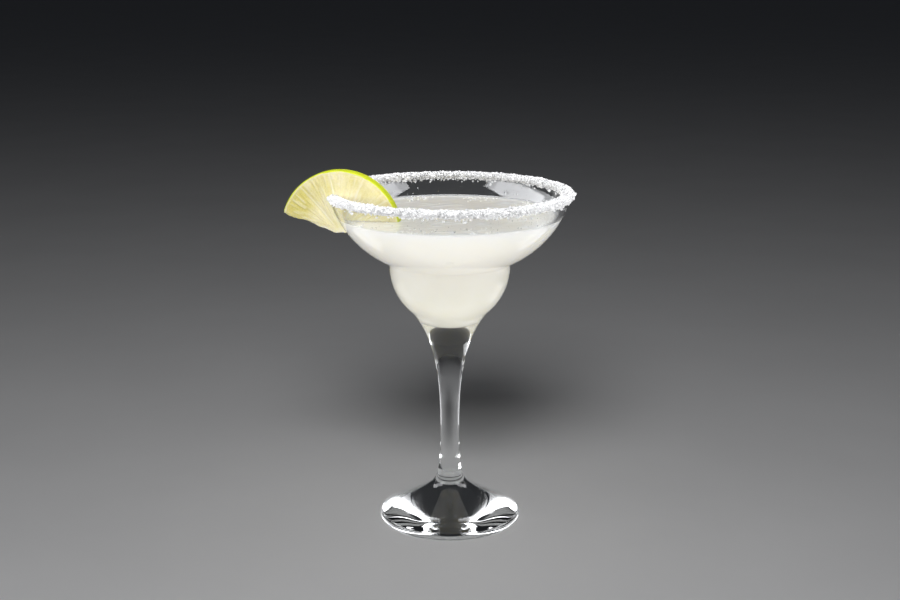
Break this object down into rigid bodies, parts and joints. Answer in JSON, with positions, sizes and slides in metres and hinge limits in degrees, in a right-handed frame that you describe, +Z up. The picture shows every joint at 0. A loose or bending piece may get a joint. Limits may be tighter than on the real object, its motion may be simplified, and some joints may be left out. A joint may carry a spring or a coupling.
{
  "type": "margarita cocktail",
  "caption": "Cloudy pale margarita in a stepped bowl glass on a slim stem and round foot, with a salted rim and a slit lime slice hung over the edge.",
  "frame": {"origin": "middle of the foot's flat underside, on the glass's axis", "axes": "+Z up along the stem, -Y towards the picture's camera, and the lime hangs on the -X side of the rim"},
  "size_m": [0.1361, 0.1173, 0.1747],
  "materials": {
    "glass": "clear, polished",
    "drink": "cloudy cream-white liquid, wet",
    "salt": "coarse white crystals, matt with glints",
    "lime": "pale wet flesh with a thin yellow-green peel"
  },
  "bodies": {
    "root": {"glass": "glass", "drink": "drink", "salt_rim": "salt", "lime_slice": "lime"}
  },
  "joints": []
}
